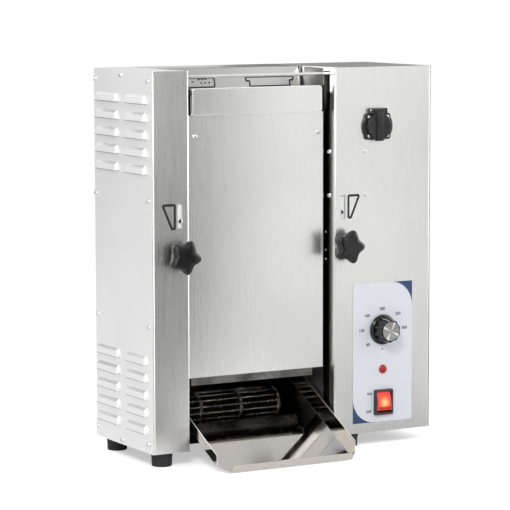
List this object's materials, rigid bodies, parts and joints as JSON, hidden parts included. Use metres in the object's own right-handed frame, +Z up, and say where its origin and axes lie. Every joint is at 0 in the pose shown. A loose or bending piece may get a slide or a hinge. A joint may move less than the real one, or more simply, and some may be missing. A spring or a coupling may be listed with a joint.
{
  "type": "vertical contact toaster",
  "caption": "Vertical contact toaster for buns: two brushed steel columns, a covered heated platen, a wire belt, a sloping tray, two thickness knobs and a control column.",
  "frame": {"origin": "on the surface the toaster stands on, under the middle of its bounding box", "axes": "+X to the right and +Y to the back as seen by the person at its front, +Z up"},
  "size_m": [0.528, 0.318, 0.622],
  "materials": {
    "brushed_stainless": "brushed stainless sheet",
    "polished_stainless": "polished stainless sheet",
    "cast_aluminium": "cast and machined aluminium",
    "plain_steel": "plain steel, turned or folded",
    "dark_steel": "dark painted steel",
    "black_plastic": "glossy black moulded plastic",
    "black_rubber": "matt black rubber",
    "brass": "turned brass",
    "insulation_board": "rigid insulation board",
    "printed_sheet": "printed polyester sheet",
    "red_lens": "translucent red plastic",
    "cream_plastic": "cream moulded plastic"
  },
  "bodies": {
    "cabinet": {"base_pan": "dark_steel", "cable_gland": "black_plastic", "control_overlay": "printed_sheet", "conveyor_plate_left": "plain_steel", "conveyor_plate_right": "plain_steel", "drive_bush_left": "brass", "drive_bush_right": "brass", "feed_plate": "brushed_stainless", "foot_front_left": "black_rubber", "foot_front_right": "black_rubber", "foot_rear_left": "black_rubber", "foot_rear_right": "black_rubber", "front_cover": "brushed_stainless", "gear_motor": "cast_aluminium", "guard_rod": "polished_stainless", "heating_element": "dark_steel", "idler_bush_left": "brass", "idler_bush_right": "brass", "indicator_lamp": "red_lens", "left_adjuster_bracket": "plain_steel", "left_column_shell": "brushed_stainless", "left_side_panel": "brushed_stainless", "left_top_cap": "brushed_stainless", "platen": "cast_aluminium", "platen_bracket_left": "plain_steel", "platen_bracket_right": "plain_steel", "platen_insulation": "insulation_board", "rear_cover": "brushed_stainless", "right_adjuster_bracket": "plain_steel", "right_column_shell": "brushed_stainless", "right_side_panel": "brushed_stainless", "right_top_cap": "brushed_stainless", "rocker_bezel": "black_plastic", "socket_body": "black_plastic", "socket_hinge_pin": "polished_stainless", "terminal_block": "cream_plastic", "thermostat_body": "cream_plastic", "thermostat_probe": "brass", "tray_rest_left": "plain_steel", "tray_rest_right": "plain_steel", "wire_belt": "plain_steel"},
    "left_thickness_knob": {"left_star_knob": "black_plastic", "left_spindle": "plain_steel"},
    "right_thickness_knob": {"right_star_knob": "black_plastic", "right_spindle": "plain_steel"},
    "left_pointer": {"left_pointer_rack": "plain_steel"},
    "right_pointer": {"right_pointer_rack": "plain_steel"},
    "left_press": {"left_pressure_plate": "polished_stainless", "left_plate_arm": "plain_steel"},
    "right_press": {"right_pressure_plate": "polished_stainless", "right_plate_arm": "plain_steel"},
    "thermostat_dial": {"thermostat_knob": "black_plastic", "thermostat_knob_cap": "polished_stainless"},
    "power_switch": {"power_rocker": "red_lens"},
    "socket_cover": {"socket_lid": "black_plastic"},
    "belt_drive": {"drive_shaft": "plain_steel", "shaft_coupling": "plain_steel"},
    "belt_idler": {"idler_shaft": "plain_steel"},
    "landing_tray": {"delivery_tray": "polished_stainless"}
  },
  "joints": [
    {"name": "left_knob_turn", "type": "hinge", "parent": "cabinet", "child": "left_thickness_knob", "pos_m": [-0.21, -0.06097, 0.333], "axis": [0, 1, 0], "range_deg": [-165.23, 47.05]},
    {"name": "right_knob_turn", "type": "hinge", "parent": "cabinet", "child": "right_thickness_knob", "pos_m": [0.09, -0.06097, 0.333], "axis": [0, 1, 0], "range_deg": [-47.05, 165.23]},
    {"name": "left_pointer_lift", "type": "slide", "parent": "cabinet", "child": "left_pointer", "axis": [0, 0, 1], "range_m": [-0.0065, 0.023]},
    {"name": "right_pointer_lift", "type": "slide", "parent": "cabinet", "child": "right_pointer", "axis": [0, 0, 1], "range_m": [-0.0065, 0.023]},
    {"name": "left_press_slide", "type": "slide", "parent": "cabinet", "child": "left_press", "axis": [0, 1, 0], "range_m": [-0.0027, 0.0093]},
    {"name": "right_press_slide", "type": "slide", "parent": "cabinet", "child": "right_press", "axis": [0, 1, 0], "range_m": [-0.0027, 0.0093]},
    {"name": "thermostat_turn", "type": "hinge", "parent": "cabinet", "child": "thermostat_dial", "pos_m": [0.1645, -0.06097, 0.1915], "axis": [0, 1, 0], "range_deg": [-150, 120]},
    {"name": "power_rock", "type": "hinge", "parent": "cabinet", "child": "power_switch", "pos_m": [0.166, -0.05697, 0.071], "axis": [1, 0, 0], "range_deg": [0, 24]},
    {"name": "socket_lid_hinge", "type": "hinge", "parent": "cabinet", "child": "socket_cover", "pos_m": [0.153, -0.06847, 0.552], "axis": [-1, 0, 0], "range_deg": [0, 110], "stiffness_Nm_per_rad": 0.02, "springref_deg": -17.19},
    {"name": "drive_turn", "type": "hinge", "parent": "cabinet", "child": "belt_drive", "pos_m": [-0.06, 0.04403, 0.177], "axis": [1, 0, 0], "continuous": true},
    {"name": "idler_turn", "type": "hinge", "parent": "cabinet", "child": "belt_idler", "pos_m": [-0.06, 0.04403, 0.547], "axis": [1, 0, 0], "continuous": true},
    {"name": "tray_slide", "type": "slide", "parent": "cabinet", "child": "landing_tray", "axis": [0, -1, 0], "range_m": [0, 0.2]}
  ],
  "couplings": [
    {"joint": "left_knob_turn", "follows": "left_pointer_lift", "rad_per_m": -125},
    {"joint": "left_press_slide", "follows": "left_pointer_lift", "ratio": 0.4},
    {"joint": "right_knob_turn", "follows": "right_pointer_lift", "rad_per_m": 125},
    {"joint": "right_press_slide", "follows": "right_pointer_lift", "ratio": 0.4},
    {"joint": "idler_turn", "follows": "drive_turn", "ratio": 1}
  ]
}
